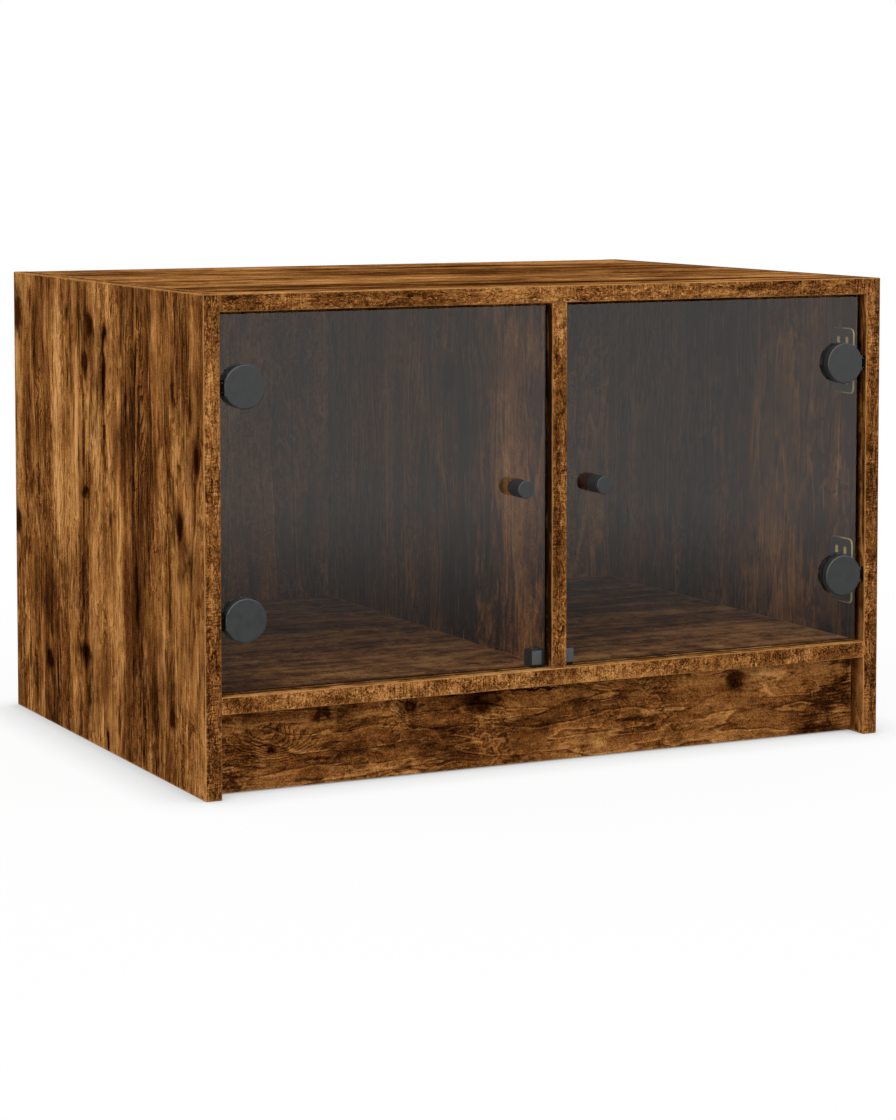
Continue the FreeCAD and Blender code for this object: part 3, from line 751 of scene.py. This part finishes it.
def make_dowel_material():
    """Beech with its short dark flecks."""
    material, t = new_material("dowel_wood")
    place = t.object_place()
    cloud = t.noise(place, *BEECH_CLOUDS)
    colour = t.blend(t.span(cloud, *NOISE_RANGE), BEECH_DARK, BEECH_LIGHT)
    fleck = t.span(t.noise(place, *BEECH_FLECKS), *FLECKED)
    colour = t.blend(t.math("MULTIPLY", fleck, FLECK_SHARE), colour, BEECH_FLECK)
    rough = t.span(cloud, *NOISE_RANGE, *BEECH_ROUGHNESS)
    relief = t.new("Bump", {"Strength": BEECH_BUMP, "Distance": BEECH_BUMP_DEPTH, "Height": cloud})
    t.finish(t.new("BsdfPrincipled", {
        "Base Color": colour, "Roughness": rough, "Specular IOR Level": BEECH_SPECULAR,
        "Normal": relief.outputs[0]}))
    return material


def dress(node, material):
    """Give a CAD node one material."""
    for slot in nodes[node].material_slots:
        slot.material = material


def dress_table():
    oak = make_oak_group()
    for board, (axes, fineness, offset) in BOARDS.items():
        dress(board, make_oak_material(board, oak, axes, fineness, offset))
    by_slot = {
        "smoked_glass": make_glass_material(),
        "dowel_wood": make_dowel_material(),
        "black_metal": make_black_metal_material(),
    }
    for slot, finish in FITTINGS.items():
        by_slot[slot] = make_fitting(slot, *finish)
    for subpart in frame["record"]["subparts"]:
        if subpart["material_slot"] == "hinge_plate":
            dress(subpart["node"], make_hinge_plate_material(subpart["node"]))
        elif subpart["material_slot"] in by_slot:
            dress(subpart["node"], by_slot[subpart["material_slot"]])


# Studio

def make_floor():
    """A white floor that holds a pale shadow, deepest at the table's foot. Mirrors see it darker near by."""
    mesh = bpy.data.meshes.new("studio_floor")
    half = FLOOR_SIZE / 2
    corners = [(-half, -half, 0), (half, -half, 0), (half, half, 0), (-half, half, 0)]
    mesh.from_pydata(corners, [], [(0, 1, 2, 3)])
    floor = bpy.data.objects.new("studio_floor", mesh)
    scene.collection.objects.link(floor)
    material, t = new_material("studio_floor")
    ray = t.new("LightPath").outputs
    bounced = ray["Is Diffuse Ray"]
    white = t.new("MapRange", {0: bounced, 3: FLOOR_WHITE, 4: FLOOR_BOUNCE}).outputs[0]
    shaded = t.new("BsdfDiffuse", {"Color": white})
    place = t.object_place()
    mirrored = t.span(t.length(place), *MIRRORED_RISE, MIRRORED_NEAR, 1.0)

    # Sockets 2 and 3 are where a Mix node takes plain numbers.
    strength = t.new("Mix", {0: ray["Is Glossy Ray"], 2: 1.0, 3: mirrored}, data_type="FLOAT").outputs[0]

    # The shadow gathers where the table stands close, most of all on its left.
    closed_off = t.rest(t.new("AmbientOcclusion", {"Distance": CONTACT_REACH}).outputs["AO"])
    line = t.rest(t.new("AmbientOcclusion", {"Distance": CONTACT_LINE_REACH}).outputs["AO"])
    depth = t.span(t.split(place)[0], *CONTACT_CHANGE, CONTACT_LEFT, CONTACT_ELSEWHERE)
    shade = t.math("MULTIPLY_ADD", line, CONTACT_LINE, t.math("MULTIPLY", closed_off, depth))
    strength = t.math("MULTIPLY", strength, t.rest(shade))
    lit = t.new("Emission", {"Color": WHITE, "Strength": strength})
    share = t.math("MULTIPLY", t.rest(bounced), 1.0 - SHADOW_SHARE)
    t.finish(t.new("MixShader", {0: share, 1: shaded.outputs[0], 2: lit.outputs[0]}))
    mesh.materials.append(material)


def make_world():
    """A white dome. What is seen or mirrored of it is white, and as a lamp it is a little weaker."""
    world = bpy.data.worlds.new("studio")
    world.use_nodes = True
    t = Tree(world.node_tree)
    t.tree.nodes.clear()
    ray = t.new("LightPath").outputs
    seen = t.math("MAXIMUM", ray["Is Camera Ray"], ray["Is Glossy Ray"])
    seen = t.math("MAXIMUM", seen, ray["Is Transmission Ray"])
    strength = t.new("MapRange", {0: seen, 3: DOME_STRENGTH, 4: 1.0}).outputs[0]
    back = t.new("Background", {"Color": WHITE, "Strength": strength})
    output = t.new("OutputWorld")
    t.tree.links.new(back.outputs[0], output.inputs["Surface"])
    scene.world = world


def make_sun():
    data = bpy.data.lights.new("soft_sun", "SUN")
    data.energy = SUN_STRENGTH
    data.angle = math.radians(SUN_ANGLE)
    sun = bpy.data.objects.new("soft_sun", data)
    scene.collection.objects.link(sun)
    sun.rotation_euler = Vector(SUN_FROM).to_track_quat("Z", "Y").to_euler()


def make_camera():
    data = bpy.data.cameras.new("camera")
    data.sensor_width = SENSOR
    data.lens = FOCAL_PIXELS * SENSOR / PHOTO_HEIGHT
    data.shift_x = (PHOTO_WIDTH / 2 - AXIS_PIXEL[0]) / PHOTO_HEIGHT
    data.shift_y = (AXIS_PIXEL[1] - PHOTO_HEIGHT / 2) / PHOTO_HEIGHT
    camera = bpy.data.objects.new("camera", data)
    scene.collection.objects.link(camera)
    turn = Matrix.Rotation(math.radians(-CAMERA_YAW), 4, "Z")
    tilt = Matrix.Rotation(math.radians(90 + CAMERA_PITCH), 4, "X")
    roll = Matrix.Rotation(math.radians(CAMERA_ROLL), 4, "Z")
    camera.matrix_world = Matrix.Translation(CAMERA_PLACE) @ turn @ tilt @ roll
    scene.camera = camera


dress_table()
make_floor()
make_world()
make_sun()
make_camera()
